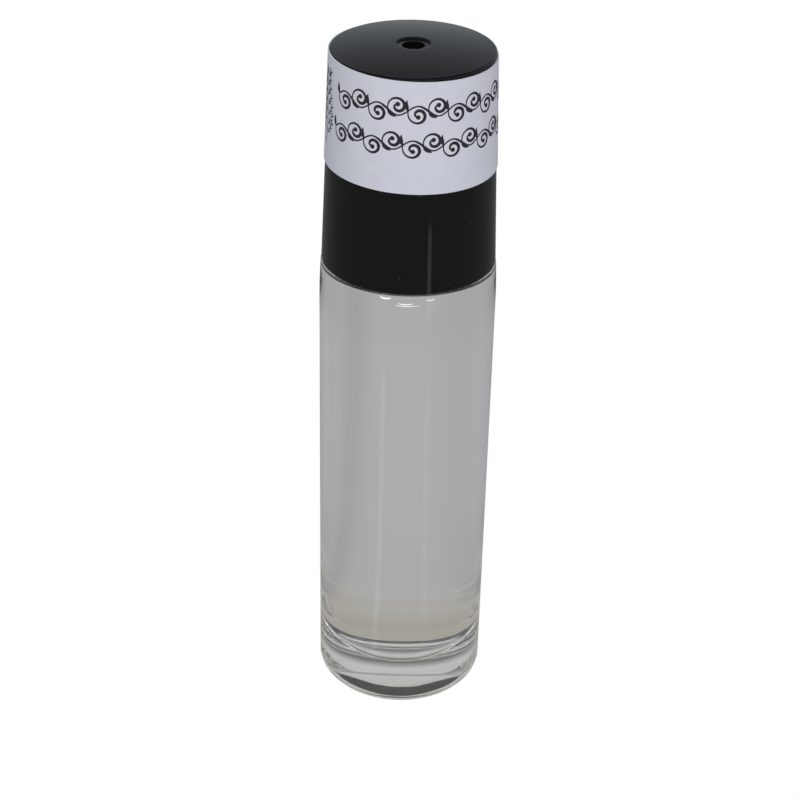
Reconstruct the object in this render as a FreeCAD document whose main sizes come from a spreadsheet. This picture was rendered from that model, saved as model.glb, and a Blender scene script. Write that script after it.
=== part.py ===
"""Roll-on bottle: a filled glass bottle, a snap-in roller housing with its ball, and a tapered screw cap.

Units are millimetres. The origin is the centre of the base on the table, and +Z runs up the bottle's axis.
The front of the label faces -Y. Every piece nests in its neighbour: radii are worked out inwards from the
glass, and heights are stacked up from the table, so that one changed size carries the rest with it.
"""

import FreeCAD
import Part
import Sketcher
import math
import os

# Driving dimensions: alias, value, and what it measures.
DRIVING_SIZES = [
    ("glass_radius", 10.33, "outside of the glass body"),
    ("glass_wall", 2.28, "thick moulded side wall"),
    ("heel_radius", 1.6, "rounding between the base and the side"),
    ("bearing_width", 1.65, "flat ring that the bottle stands on"),
    ("punt_depth", 0.98, "hollow under the base"),
    ("base_thickness", 4.15, "table to the lowest point of the cavity"),
    ("cavity_corner", 5.45, "rounding at the bottom of the cavity"),
    ("floor_dome", 0.18, "rise of the cavity floor at its middle"),
    ("shoulder_height", 58.6, "table to the flat shoulder"),
    ("draw_in", 0.15, "narrowing of the body just under the cap"),
    ("draw_height", 4.5, "height over which the body narrows"),
    ("shoulder_corner", 0.4, "rounding of the shoulder's outer edge"),
    ("cavity_shoulder_drop", 2.8, "shoulder down to the end of the straight cavity"),
    ("cavity_shoulder_rise", 4.0, "height of the curve from cavity to neck"),
    ("neck_height", 10.0, "shoulder to the neck's lip"),
    ("neck_wall", 1.4, "glass at the neck"),
    ("neck_root", 0.6, "fillet where the neck leaves the shoulder"),
    ("lip_round", 0.4, "rounding of the neck's lip"),
    ("oil_neck_fill", 0.6, "oil's level above the start of the neck's bore"),
    ("plug_depth", 7.0, "length of the housing's plug in the neck"),
    ("plug_wall", 0.9, "wall of the plug"),
    ("plug_play", 0.14, "gap between plug and neck, which the beads close"),
    ("plug_lead", 0.5, "chamfer that starts the plug in the neck"),
    ("bead_width", 1.0, "height of one sealing bead"),
    ("bead_spacing", 1.9, "pitch of the sealing beads"),
    ("flange_inset", 0.2, "housing flange short of the neck's outside"),
    ("flange_thickness", 1.1, "housing flange on the lip"),
    ("ball_step", 0.4, "ball's radius short of the neck's bore"),
    ("ball_rise", 3.5, "neck's lip to the ball's centre"),
    ("ball_play", 0.1, "gap between ball and seat"),
    ("socket_wall", 0.85, "wall of the socket round the ball"),
    ("lip_bite", 0.35, "socket's mouth smaller than the ball, which keeps it in"),
    ("feed_radius", 2.0, "hole that feeds oil to the ball"),
    ("web_thickness", 1.0, "floor of the socket round the feed hole"),
    ("slot_width", 0.8, "feed slot across the seat"),
    ("slot_reach", 1.7, "feed slot beyond the feed hole"),
    ("slot_skin", 0.4, "plastic left under a feed slot"),
    ("seal_gap", 0.3, "clearance between the ball and the seal's dish"),
    ("seal_core", 1.0, "seal's thickness above the ball"),
    ("seal_thickness", 1.8, "seal's thickness at its rim"),
    ("seal_step", 1.6, "seal's radius short of the crown's bore"),
    ("seal_play", 0.1, "clearance round the seal in the inner cap"),
    ("seal_lip", 0.3, "undercut that keeps the seal in the inner cap"),
    ("collar_depth", 0.5, "depth of the undercut's collar"),
    ("crown_play", 0.3, "clearance round the housing inside the crown"),
    ("crown_wall", 0.9, "wall of the crown"),
    ("crown_thickness", 1.0, "plate above the seal"),
    ("thread_room", 1.05, "space for the threads between neck and inner cap"),
    ("inner_wall", 1.11, "inner cap's wall at its lower end"),
    ("inner_play", 0.04, "fit between the inner cap and the shell"),
    ("inner_recess", 0.4, "inner cap's lower end above the shell's rim"),
    ("inner_step", 0.9, "height of the slope from thread bore to crown"),
    ("rib_angle", 5.0, "drive rib, in degrees round the axis"),
    ("cap_headroom", 2.8, "crown plate to the shell's ceiling"),
    ("shell_wall", 1.2, "side wall of the cap's shell"),
    ("shell_top", 1.7, "top wall of the cap's shell, at its edge"),
    ("cap_rim_gap", 0.1, "shell's rim above the shoulder"),
    ("cap_rim_inset", 0.23, "shell's rim inside the glass"),
    ("cap_taper", 0.9, "shell's top radius short of its rim"),
    ("cap_dome", 0.6, "rise of the shell's top from its edge to its middle"),
    ("cap_edge", 0.25, "rounding of the shell's top edge"),
    ("rim_edge", 0.2, "rounding of the shell's lower edge"),
    ("gate_step_radius", 1.9, "shallow step round the moulding gate"),
    ("gate_step_depth", 0.22, "depth of that step"),
    ("gate_radius", 1.25, "gate well"),
    ("gate_depth", 1.15, "depth of the gate well"),
    ("vestige_radius", 0.3, "stub that the gate leaves"),
    ("vestige_height", 0.45, "height of that stub"),
    ("label_height", 12.7, "half-inch paper label"),
    ("label_length", 44.45, "one and three quarter inch paper label"),
    ("label_thickness", 0.12, "paper and adhesive"),
    ("label_drop", 0.28, "cap's top edge to the label's upper edge, on the axis"),
    ("label_tilt", 1.6, "label out of square with the cap, in degrees"),
]
FEED_SLOTS = 3
DRIVE_RIBS = 8
SEALING_BEADS = 2

# How near an edge must lie to where it is looked for, and the least that a cut may take away.
EDGE_MATCH = 1e-4
LEAST_CUT = 1e-6


class Size:
    """A length that knows its value and the sheet expression that it comes from."""

    def __init__(self, value, text):
        self.value = value
        self.text = text

    def _with(self, other, sign, value):
        text = other.text if isinstance(other, Size) else repr(other)
        return Size(value, f"({self.text} {sign} {text})")

    def __add__(self, other):
        return self._with(other, "+", self.value + number(other))

    def __sub__(self, other):
        return self._with(other, "-", self.value - number(other))

    def __mul__(self, other):
        return self._with(other, "*", self.value * number(other))

    def __truediv__(self, other):
        return self._with(other, "/", self.value / number(other))

    def __neg__(self):
        return Size(-self.value, f"(-{self.text})")

    def root(self):
        return Size(math.sqrt(self.value), f"sqrt({self.text})")

    def tangent(self):
        return Size(math.tan(math.radians(self.value)), f"tan({self.text} * 1 deg)")


def number(size):
    return size.value if isinstance(size, Size) else size


def make_sheet(doc):
    """The driving dimensions, one row each, and a name to Size table of them."""
    sheet = doc.addObject("Spreadsheet::Sheet", "Sizes")
    sizes = {}
    for row, (alias, value, meaning) in enumerate(DRIVING_SIZES, start=1):
        sheet.set(f"A{row}", meaning)
        sheet.set(f"B{row}", str(value))
        sheet.setAlias(f"B{row}", alias)
        sizes[alias] = Size(value, f"Sizes.{alias}")
    doc.recompute()
    return sizes


def other_leg(hypotenuse, leg):
    return (hypotenuse * hypotenuse - leg * leg).root()


def arc_radius(half_chord, rise):
    """Radius of the arc that rises by this much at the middle of its chord."""
    return (half_chord * half_chord + rise * rise) / (rise * 2)


class Layout:
    """Radii and heights that the pieces share, worked out once from the driving dimensions."""

    def __init__(self, s):
        # Radii, from the outside of the cap and glass inwards.
        self.rim_radius = s["glass_radius"] - s["cap_rim_inset"]
        self.shell_bore = self.rim_radius - s["shell_wall"]
        self.inner_radius = self.shell_bore - s["inner_play"]
        self.thread_bore = self.inner_radius - s["inner_wall"]
        self.neck_radius = self.thread_bore - s["thread_room"]
        self.neck_bore = self.neck_radius - s["neck_wall"]
        self.cavity_radius = s["glass_radius"] - s["glass_wall"]
        self.flange_radius = self.neck_radius - s["flange_inset"]
        self.ball_radius = self.neck_bore - s["ball_step"]
        self.seat_radius = self.ball_radius + s["ball_play"]
        self.crown_bore = self.flange_radius + s["crown_play"]
        self.crown_radius = self.crown_bore + s["crown_wall"]
        self.seal_radius = self.crown_bore - s["seal_step"]
        self.seal_pocket = self.seal_radius + s["seal_play"]
        self.dish_radius = self.ball_radius + s["seal_gap"]
        # Heights, from the table up.
        self.shoulder = s["shoulder_height"]
        self.cavity_end = self.shoulder - s["cavity_shoulder_drop"]
        self.bore_start = self.cavity_end + s["cavity_shoulder_rise"]
        self.lip = self.shoulder + s["neck_height"]
        self.ball_centre = self.lip + s["ball_rise"]
        self.seal_top = self.ball_centre + self.dish_radius + s["seal_core"]
        self.seal_bottom = self.seal_top - s["seal_thickness"]
        self.crown_bottom = self.seal_top + s["seal_play"]
        self.crown_top = self.crown_bottom + s["crown_thickness"]
        self.shell_ceiling = self.crown_top + s["cap_headroom"]
        self.top = self.shell_ceiling + s["shell_top"]
        self.rim = self.shoulder + s["cap_rim_gap"]
        self.taper = s["cap_taper"] / (self.top - self.rim)

    def cavity_shoulder(self, s):
        """Middle of the curve from the cavity's wall to the neck's bore, and the bend of its two arcs."""
        half_step = (self.cavity_radius - self.neck_bore) / 2
        half_rise = s["cavity_shoulder_rise"] / 2
        return self.neck_bore + half_step, self.cavity_end + half_rise, arc_radius(half_rise, half_step)

    def shell_outside(self, height):
        return self.rim_radius - (height - self.rim) * self.taper

    def shell_inside(self, height):
        return self.shell_bore - (height - self.rim) * self.taper

    def inner_outside(self, height):
        return self.inner_radius - (height - self.rim) * self.taper


def new_body(doc, label):
    body = doc.addObject("PartDesign::Body", label)
    body.Label = label
    return body


def origin_feature(body, role):
    return next(f for f in body.Origin.OriginFeatures if f.Role == role)


def pin_coordinate(sketch, kind, geometry, point, size):
    """Holds one coordinate of a sketch point at a size, measured from the origin."""
    level_axis, upright_axis = -1, -2
    origin = (level_axis, 1)
    if number(size) == 0:
        axis = upright_axis if kind == "DistanceX" else level_axis
        sketch.addConstraint(Sketcher.Constraint("PointOnObject", geometry, point, axis))
        return
    ends = (*origin, geometry, point)
    if size.value < 0:
        ends = (geometry, point, *origin)
        size = -size
    index = sketch.addConstraint(Sketcher.Constraint(kind, *ends, size.value))
    sketch.setExpression(f"Constraints[{index}]", size.text)


def arc_between(begin, end, radius, turn):
    """The arc from begin to end whose centre lies to the left or right of the way along it."""
    chord = end.sub(begin)
    middle = begin.add(end).multiply(0.5)
    height = math.sqrt(max(radius * radius - chord.Length**2 / 4, 0.0))
    left = FreeCAD.Vector(-chord.y, chord.x, 0).normalize()
    centre = middle.add(left.multiply(height if turn == "left" else -height))
    first, last = (begin, end) if turn == "left" else (end, begin)
    angles = [math.atan2(p.y - centre.y, p.x - centre.x) for p in (first, last)]
    circle = Part.Circle(centre, FreeCAD.Vector(0, 0, 1), radius)
    return Part.ArcOfCircle(circle, *angles)


def draw_outline(body, name, role, corners):
    """A closed sketch on an origin plane. A corner is (across, up), reached by a line, or
    (across, up, radius, turn), reached by an arc with its centre to the left or right."""
    sketch = body.newObject("Sketcher::SketchObject", name)
    sketch.AttachmentSupport = [(origin_feature(body, role), "")]
    sketch.MapMode = "FlatFace"
    start_point, end_point = 1, 2
    points = [FreeCAD.Vector(number(c[0]), number(c[1]), 0) for c in corners]
    ends = []
    for index, corner in enumerate(corners):
        begin, end = points[index - 1], points[index]
        if len(corner) == 2:
            geometry = sketch.addGeometry(Part.LineSegment(begin, end))
            ends.append((geometry, start_point, end_point))
            continue
        radius, turn = corner[2:]
        geometry = sketch.addGeometry(arc_between(begin, end, radius.value, turn))
        if turn == "left":
            ends.append((geometry, start_point, end_point))
        else:
            ends.append((geometry, end_point, start_point))
    for index, (geometry, first, last) in enumerate(ends):
        following, joined, _ = ends[(index + 1) % len(ends)]
        sketch.addConstraint(Sketcher.Constraint("Coincident", geometry, last, following, joined))
        pin_coordinate(sketch, "DistanceX", geometry, last, corners[index][0])
        pin_coordinate(sketch, "DistanceY", geometry, last, corners[index][1])
        if len(corners[index]) == 4:
            radius = corners[index][2]
            held = sketch.addConstraint(Sketcher.Constraint("Radius", geometry, radius.value))
            sketch.setExpression(f"Constraints[{held}]", radius.text)
    return sketch


def revolve(body, name, sketch, angle=None):
    """Turns a sketch about the bottle's axis, all the way or by an angle centred on the sketch."""
    feature = body.newObject("PartDesign::Revolution", name)
    feature.Profile = sketch
    feature.ReferenceAxis = (sketch, ["V_Axis"])
    feature.Angle = 360
    if angle is not None:
        feature.Midplane = True
        feature.setExpression("Angle", angle.text)
    sketch.Visibility = False
    return feature


def cut_through(body, name, sketch):
    """A pocket through the whole body, both ways from its sketch."""
    feature = body.newObject("PartDesign::Pocket", name)
    feature.Profile = sketch
    feature.Type = "ThroughAll"
    feature.Midplane = True
    sketch.Visibility = False
    return feature


def repeat_round_axis(body, name, feature, count):
    pattern = body.newObject("PartDesign::PolarPattern", name)
    pattern.Originals = [feature]
    pattern.Axis = (origin_feature(body, "Z_Axis"), [""])
    pattern.Angle = 360
    pattern.Occurrences = count
    body.Tip = pattern
    return pattern


def circle_edge(feature, radius, height):
    """Name of the circular edge of a feature that has this radius and height."""
    for index, edge in enumerate(feature.Shape.Edges, start=1):
        if not isinstance(edge.Curve, Part.Circle):
            continue
        off = abs(edge.Curve.Radius - number(radius)) + abs(edge.Curve.Center.z - number(height))
        if off < EDGE_MATCH:
            return f"Edge{index}"
    raise RuntimeError(f"{feature.Name} has no edge of radius {number(radius)} at {number(height)}")


def round_edge(body, name, feature, edge, size):
    fillet = body.newObject("PartDesign::Fillet", name)
    fillet.Base = (feature, [edge])
    fillet.setExpression("Radius", size.text)
    return fillet


def make_glass_bottle(doc, s, at):
    """One moulding: hollow base, thick wall, drawn-in shoulder and plain neck."""
    radius = s["glass_radius"]
    foot = radius - s["heel_radius"]
    ring = foot - s["bearing_width"]
    drawn = radius - s["draw_in"]
    corner_start = at.shoulder - s["shoulder_corner"]
    draw_start = corner_start - s["draw_height"]
    neck_start = at.shoulder + s["neck_root"]
    lip_start = at.lip - s["lip_round"]
    curve_radius, curve_height, bend = at.cavity_shoulder(s)
    floor_edge = at.cavity_radius - s["cavity_corner"]
    body = new_body(doc, "glass_bottle")
    sketch = draw_outline(body, "glass_outline", "XZ_Plane", [
        (0, s["punt_depth"]),
        (ring, 0, arc_radius(ring, s["punt_depth"]), "right"),
        (foot, 0),
        (radius, s["heel_radius"], s["heel_radius"], "left"),
        (radius, draw_start),
        (drawn, corner_start, arc_radius(s["draw_height"], s["draw_in"]), "left"),
        (drawn - s["shoulder_corner"], at.shoulder, s["shoulder_corner"], "left"),
        (at.neck_radius + s["neck_root"], at.shoulder),
        (at.neck_radius, neck_start, s["neck_root"], "right"),
        (at.neck_radius, lip_start),
        (at.neck_radius - s["lip_round"], at.lip, s["lip_round"], "left"),
        (at.neck_bore + s["lip_round"], at.lip),
        (at.neck_bore, lip_start, s["lip_round"], "left"),
        (at.neck_bore, at.bore_start),
        (curve_radius, curve_height, bend, "left"),
        (at.cavity_radius, at.cavity_end, bend, "right"),
        (at.cavity_radius, s["base_thickness"] + s["cavity_corner"]),
        (floor_edge, s["base_thickness"], s["cavity_corner"], "right"),
        (0, s["base_thickness"] + s["floor_dome"], arc_radius(floor_edge, s["floor_dome"]), "left"),
    ])
    revolve(body, "glass_turned", sketch)
    return body


def make_perfume_oil(doc, s, at):
    """The oil fills the cavity from its floor up into the neck, short of the housing's plug."""
    floor_edge = at.cavity_radius - s["cavity_corner"]
    curve_radius, curve_height, bend = at.cavity_shoulder(s)
    level = at.bore_start + s["oil_neck_fill"]
    body = new_body(doc, "perfume_oil")
    sketch = draw_outline(body, "oil_outline", "XZ_Plane", [
        (0, s["base_thickness"] + s["floor_dome"]),
        (floor_edge, s["base_thickness"], arc_radius(floor_edge, s["floor_dome"]), "right"),
        (at.cavity_radius, s["base_thickness"] + s["cavity_corner"], s["cavity_corner"], "left"),
        (at.cavity_radius, at.cavity_end),
        (curve_radius, curve_height, bend, "left"),
        (at.neck_bore, at.bore_start, bend, "right"),
        (at.neck_bore, level),
        (0, level),
    ])
    revolve(body, "oil_turned", sketch)
    return body


def bead_corners(s, plug_radius, first_height):
    """Sealing beads up the plug, each a low bump that just reaches the neck's bore."""
    bump = arc_radius(s["bead_width"] / 2, s["plug_play"])
    corners = []
    for bead in range(SEALING_BEADS):
        low = first_height + s["bead_spacing"] * bead
        corners.append((plug_radius, low))
        corners.append((plug_radius, low + s["bead_width"], bump, "left"))
    return corners


def make_roller_housing(doc, s, at):
    """Plug with sealing beads, flange on the lip, and a spherical socket with feed slots."""
    plug_radius = at.neck_bore - s["plug_play"]
    plug_bore = plug_radius - s["plug_wall"]
    plug_end = at.lip - s["plug_depth"]
    plug_start = plug_end + s["plug_lead"]
    socket = at.seat_radius + s["socket_wall"]
    mouth_radius = at.ball_radius - s["lip_bite"]
    mouth_rise = other_leg(at.seat_radius, mouth_radius)
    mouth = at.ball_centre + mouth_rise
    flange_top = at.lip + s["flange_thickness"]
    feed_top = at.ball_centre - other_leg(at.seat_radius, s["feed_radius"])
    web_bottom = feed_top - s["web_thickness"]
    body = new_body(doc, "roller_housing")
    sketch = draw_outline(body, "housing_outline", "XZ_Plane", [
        (plug_bore, plug_end),
        (plug_radius - s["plug_lead"], plug_end),
        (plug_radius, plug_start),
        *bead_corners(s, plug_radius, plug_start + s["plug_lead"]),
        (plug_radius, at.lip),
        (at.flange_radius, at.lip),
        (at.flange_radius, flange_top),
        (socket, flange_top),
        (socket, at.ball_centre),
        (other_leg(socket, mouth_rise), mouth, socket, "left"),
        (mouth_radius, mouth),
        (s["feed_radius"], feed_top, at.seat_radius, "right"),
        (s["feed_radius"], web_bottom),
        (plug_bore, web_bottom),
    ])
    turned = revolve(body, "housing_turned", sketch)
    doc.recompute()
    slot_end = s["feed_radius"] + s["slot_reach"]
    slot_floor = web_bottom + s["slot_skin"]
    slot = draw_outline(body, "slot_outline", "XZ_Plane", [
        (0, slot_floor),
        (slot_end, slot_floor),
        (slot_end, at.ball_centre),
        (0, at.ball_centre),
    ])
    pocket = body.newObject("PartDesign::Pocket", "feed_slot")
    pocket.Profile = slot
    pocket.Midplane = True
    pocket.setExpression("Length", s["slot_width"].text)
    slot.Visibility = False
    doc.recompute()
    require_less(pocket, turned)
    repeat_round_axis(body, "feed_slots", pocket, FEED_SLOTS)
    return body


def make_roller_ball(doc, s, at):
    ball = doc.addObject("Part::Sphere", "roller_ball")
    ball.Label = "roller_ball"
    ball.setExpression("Radius", at.ball_radius.text)
    ball.setExpression("Placement.Base.z", at.ball_centre.text)
    return ball


def make_seal_disc(doc, s, at):
    """Soft disc, loose in the crown, with a dish that comes down over the ball."""
    dish_edge = other_leg(at.dish_radius, at.seal_bottom - at.ball_centre)
    body = new_body(doc, "seal_disc")
    sketch = draw_outline(body, "seal_outline", "XZ_Plane", [
        (0, at.ball_centre + at.dish_radius),
        (dish_edge, at.seal_bottom, at.dish_radius, "right"),
        (at.seal_radius, at.seal_bottom),
        (at.seal_radius, at.seal_top),
        (0, at.seal_top),
    ])
    revolve(body, "seal_turned", sketch)
    return body


def make_cap_inner(doc, s, at):
    """Threaded liner: a skirt that fills the shell, a crown over the ball, and drive ribs."""
    low = at.rim + s["inner_recess"]
    slope_top = at.lip + s["crown_play"]
    slope_low = slope_top - s["inner_step"]
    skirt_radius = at.inner_outside(slope_top)
    rib_low = slope_top + (skirt_radius - at.crown_radius)
    lip_top = at.seal_bottom - s["seal_play"]
    collar = lip_top - s["collar_depth"]
    mouth = at.seal_pocket - s["seal_lip"]
    body = new_body(doc, "cap_inner")
    sketch = draw_outline(body, "inner_outline", "XZ_Plane", [
        (at.thread_bore, low),
        (at.inner_outside(low), low),
        (skirt_radius, slope_top),
        (at.crown_radius, rib_low),
        (at.crown_radius, at.shell_ceiling),
        (at.crown_bore, at.shell_ceiling),
        (at.crown_bore, at.crown_top),
        (0, at.crown_top),
        (0, at.crown_bottom),
        (at.seal_pocket, at.crown_bottom),
        (at.seal_pocket, lip_top),
        (mouth, lip_top),
        (mouth, collar),
        (at.crown_bore, collar),
        (at.crown_bore, slope_top),
        (at.thread_bore, slope_low),
    ])
    revolve(body, "inner_turned", sketch)
    rib_root = at.crown_radius - s["crown_wall"] / 2
    rib = draw_outline(body, "rib_outline", "XZ_Plane", [
        (rib_root, rib_low),
        (at.inner_outside(rib_low), rib_low),
        (at.inner_outside(at.shell_ceiling), at.shell_ceiling),
        (rib_root, at.shell_ceiling),
    ])
    ribbed = revolve(body, "drive_rib", rib, s["rib_angle"])
    doc.recompute()
    repeat_round_axis(body, "drive_ribs", ribbed, DRIVE_RIBS)
    return body


def make_cap_shell(doc, s, at):
    """Tapered black shell, open below, with the moulding gate's well in the middle of its domed top."""
    top_radius = at.shell_outside(at.top)
    dome_bend = arc_radius(top_radius, s["cap_dome"])
    gate_edge = at.top + s["cap_dome"] - dome_bend + other_leg(dome_bend, s["gate_step_radius"])
    well_floor = gate_edge - s["gate_depth"]
    step_floor = gate_edge - s["gate_step_depth"]
    vestige = well_floor + s["vestige_height"]
    body = new_body(doc, "cap_shell")
    sketch = draw_outline(body, "shell_outline", "XZ_Plane", [
        (0, at.shell_ceiling),
        (at.shell_inside(at.shell_ceiling), at.shell_ceiling),
        (at.shell_bore, at.rim),
        (at.rim_radius, at.rim),
        (top_radius, at.top),
        (s["gate_step_radius"], gate_edge, dome_bend, "left"),
        (s["gate_step_radius"], step_floor),
        (s["gate_radius"], step_floor),
        (s["gate_radius"], well_floor),
        (s["vestige_radius"], well_floor),
        (s["vestige_radius"], vestige),
        (0, vestige),
    ])
    turned = revolve(body, "shell_turned", sketch)
    doc.recompute()
    top_edge = circle_edge(turned, top_radius, at.top)
    rounded = round_edge(body, "top_edge", turned, top_edge, s["cap_edge"])
    doc.recompute()
    rim_edge = circle_edge(rounded, at.rim_radius, at.rim)
    round_edge(body, "rim_edge", rounded, rim_edge, s["rim_edge"])
    return body


def label_cut(body, name, s, edge, away):
    """Trims the label sleeve along a tilted edge; away is how far the trimmed side reaches."""
    reach = s["glass_radius"] * 2
    drop = reach * s["label_tilt"].tangent()
    sketch = draw_outline(body, name + "_outline", "XZ_Plane", [
        (-reach, edge + drop),
        (reach, edge - drop),
        (reach, edge + away),
        (-reach, edge + away),
    ])
    return cut_through(body, name, sketch)


def make_cap_label(doc, s, at):
    """Paper wrapped round the cap from the front, a little out of square, open at the back."""
    upper = at.top - s["label_drop"]
    lower = upper - s["label_height"]
    spare = s["glass_radius"] * s["label_tilt"].tangent() * 2
    sleeve_low = lower - spare
    sleeve_high = upper + spare
    wrap_radius = at.shell_outside((upper + lower) / 2)
    wrap = s["label_length"] / wrap_radius * (180 / math.pi)
    body = new_body(doc, "cap_label")
    sketch = draw_outline(body, "label_outline", "YZ_Plane", [
        (-at.shell_outside(sleeve_low), sleeve_low),
        (-(at.shell_outside(sleeve_low) + s["label_thickness"]), sleeve_low),
        (-(at.shell_outside(sleeve_high) + s["label_thickness"]), sleeve_high),
        (-at.shell_outside(sleeve_high), sleeve_high),
    ])
    sleeve = revolve(body, "label_wrapped", sketch, wrap)
    doc.recompute()
    above = label_cut(body, "label_upper_edge", s, upper, s["glass_radius"])
    doc.recompute()
    require_less(above, sleeve)
    below = label_cut(body, "label_lower_edge", s, lower, -s["glass_radius"])
    doc.recompute()
    require_less(below, above)
    return body


def require_less(cut, before):
    """A cut that removes nothing has gone the wrong way."""
    if cut.Shape.Volume > before.Shape.Volume - LEAST_CUT:
        raise RuntimeError(f"{cut.Name} cuts nothing")


def check_document(doc, pieces):
    for item in doc.Objects:
        if {"Invalid", "Error"} & set(item.State):
            raise RuntimeError(f"{item.Name} failed: {item.State}")
    for piece in pieces:
        if piece.Shape.isNull() or not piece.Shape.isValid():
            raise RuntimeError(f"{piece.Label} has no valid shape")


def main():
    doc = FreeCAD.newDocument("roll_on_bottle")
    sizes = make_sheet(doc)
    layout = Layout(sizes)
    makers = (
        make_glass_bottle,
        make_perfume_oil,
        make_roller_housing,
        make_roller_ball,
        make_seal_disc,
        make_cap_inner,
        make_cap_shell,
        make_cap_label,
    )
    pieces = [make(doc, sizes, layout) for make in makers]
    doc.recompute()
    check_document(doc, pieces)
    os.makedirs("parts", exist_ok=True)
    for piece in pieces:
        piece.Shape.exportStep(os.path.join("parts", piece.Label + ".step"))
        box = piece.Shape.optimalBoundingBox(False)
        print(f"{piece.Label}: volume {piece.Shape.Volume:.1f}, z {box.ZMin:.3f} to {box.ZMax:.3f}, "
              f"radius {box.XMax:.3f}, solids {len(piece.Shape.Solids)}")


main()
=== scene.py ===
"""Dresses the roll-on bottle: clear glass full of pale oil, a gloss black screw cap and a paper label.

Sizes are in millimetres in the bottle's own frame: +Z up its axis, the label's front towards -Y. They become
metres where a mesh is made.
"""

import bmesh
import bpy
import math
from mathutils import Matrix, Vector


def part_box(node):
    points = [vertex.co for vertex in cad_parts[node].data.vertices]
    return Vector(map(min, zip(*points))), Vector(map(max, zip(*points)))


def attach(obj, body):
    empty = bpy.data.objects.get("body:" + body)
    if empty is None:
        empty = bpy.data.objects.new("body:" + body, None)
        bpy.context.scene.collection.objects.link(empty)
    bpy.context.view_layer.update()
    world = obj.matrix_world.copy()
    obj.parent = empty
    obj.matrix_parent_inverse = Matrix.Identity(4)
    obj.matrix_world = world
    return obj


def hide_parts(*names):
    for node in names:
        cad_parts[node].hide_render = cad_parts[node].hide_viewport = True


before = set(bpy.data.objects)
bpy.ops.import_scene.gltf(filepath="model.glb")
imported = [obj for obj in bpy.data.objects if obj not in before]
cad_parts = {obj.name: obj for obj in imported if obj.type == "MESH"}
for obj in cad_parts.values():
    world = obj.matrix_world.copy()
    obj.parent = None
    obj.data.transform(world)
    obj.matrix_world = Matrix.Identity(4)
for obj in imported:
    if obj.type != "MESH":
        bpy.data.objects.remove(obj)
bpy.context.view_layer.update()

MM = 0.001
SIDES = 256
TOLERANCE = 1e-6
WHITE = (1, 1, 1, 1)
BLACK = (0, 0, 0, 1)


def span(node):
    """Lowest and highest corner of a CAD node, in millimetres."""
    low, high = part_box(node)
    return low / MM, high / MM


# Glass body, from the outside in.
GLASS_RADIUS = span("glass_bottle")[1].x
LIP = span("glass_bottle")[1].z
HEEL_RADIUS = 1.6
BEARING_WIDTH = 1.65
PUNT_DEPTH = 0.98
NECK_HEIGHT = 10.0
SHOULDER = LIP - NECK_HEIGHT
SHOULDER_CORNER = 0.4
DRAW_IN = 0.15
DRAW_HEIGHT = 4.5
NECK_RADIUS = 6.7
NECK_BORE = 5.3
NECK_ROOT = 0.6
LIP_ROUND = 0.4
CAVITY_RADIUS = span("perfume_oil")[1].x
CAVITY_FLOOR = span("perfume_oil")[0].z
CAVITY_CORNER = 5.45
FLOOR_DOME = 0.18
CAVITY_SHOULDER_DROP = 2.8
CAVITY_SHOULDER_RISE = 4.0
CAVITY_END = SHOULDER - CAVITY_SHOULDER_DROP
BORE_START = CAVITY_END + CAVITY_SHOULDER_RISE

# Painted glints: the bubbles glow white with light of their own.
# Flat bubbles in the glass, on one radius. Across is to the right of the front, drop is from the shoulder.
BUBBLE_PLACE_RADIUS = 9.6
BUBBLE_FLATNESS = 0.6
BUBBLE_UPTURN = 0.12
BUBBLES = (
    {"across": -0.2, "drop": 1.15, "half_length": 0.85, "half_depth": 0.11},
    {"across": 0.0, "drop": 1.4, "half_length": 1.4, "half_depth": 0.05},
    {"across": -2.45, "drop": 0.63, "half_length": 0.62, "half_depth": 0.11},
    {"across": 2.55, "drop": 0.72, "half_length": 0.55, "half_depth": 0.09},
)

# Oil, held off the glass by a film too thin to see.
OIL_LEVEL = span("perfume_oil")[1].z
OIL_FILM = 0.02
MENISCUS_RISE = 0.4
MENISCUS_WIDTH = 1.3
MENISCUS_CURVE = 2.4
SURFACE_SKIN = 0.06
SURFACE_GAP = SURFACE_SKIN / 6
SURFACE_STEPS = 40

# Screw threads of the neck and the cap, half a turn's rise apart.
THREAD_LEAD = 3.0
THREAD_RISE = 2.4
THREAD_START = SHOULDER + THREAD_RISE
THREAD_HALF_WIDTH = 0.62
THREAD_FADE_TURNS = 0.12
NECK_THREAD_TURNS = 1.5
NECK_THREAD_CREST = 7.5
NECK_THREAD_FLANK = 1.35
CAP_THREAD_TURNS = 1.25
CAP_THREAD_STEPS = 240
CAP_THREAD_BORE = 7.75
CAP_THREAD_CREST = 6.98
CAP_THREAD_ROOT = 0.08
CAP_THREAD_FLAT = 0.32

# Cap shell. Its top is the plane of its upper edge, which the dome rises from.
CAP_RIM = span("cap_shell")[0].z
CAP_HEIGHT = 25.2
CAP_TOP = CAP_RIM + CAP_HEIGHT
CAP_RIM_RADIUS = 10.1
CAP_TAPER = 0.9
CAP_TOP_RADIUS = CAP_RIM_RADIUS - CAP_TAPER
SHELL_WALL = 1.2
SHELL_TOP_WALL = 1.7
SHELL_CEILING = CAP_TOP - SHELL_TOP_WALL
CAP_DOME = 0.6
CAP_EDGE = 0.25
RIM_EDGE = 0.2
GATE_STEP_RADIUS = 1.9
GATE_STEP_DEPTH = 0.22
GATE_RADIUS = 1.25
GATE_DEPTH = 1.15
VESTIGE_RADIUS = 0.3
VESTIGE_HEIGHT = 0.45
VESTIGE_CROWN = 0.495
SOFT_EDGE = 0.07

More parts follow.
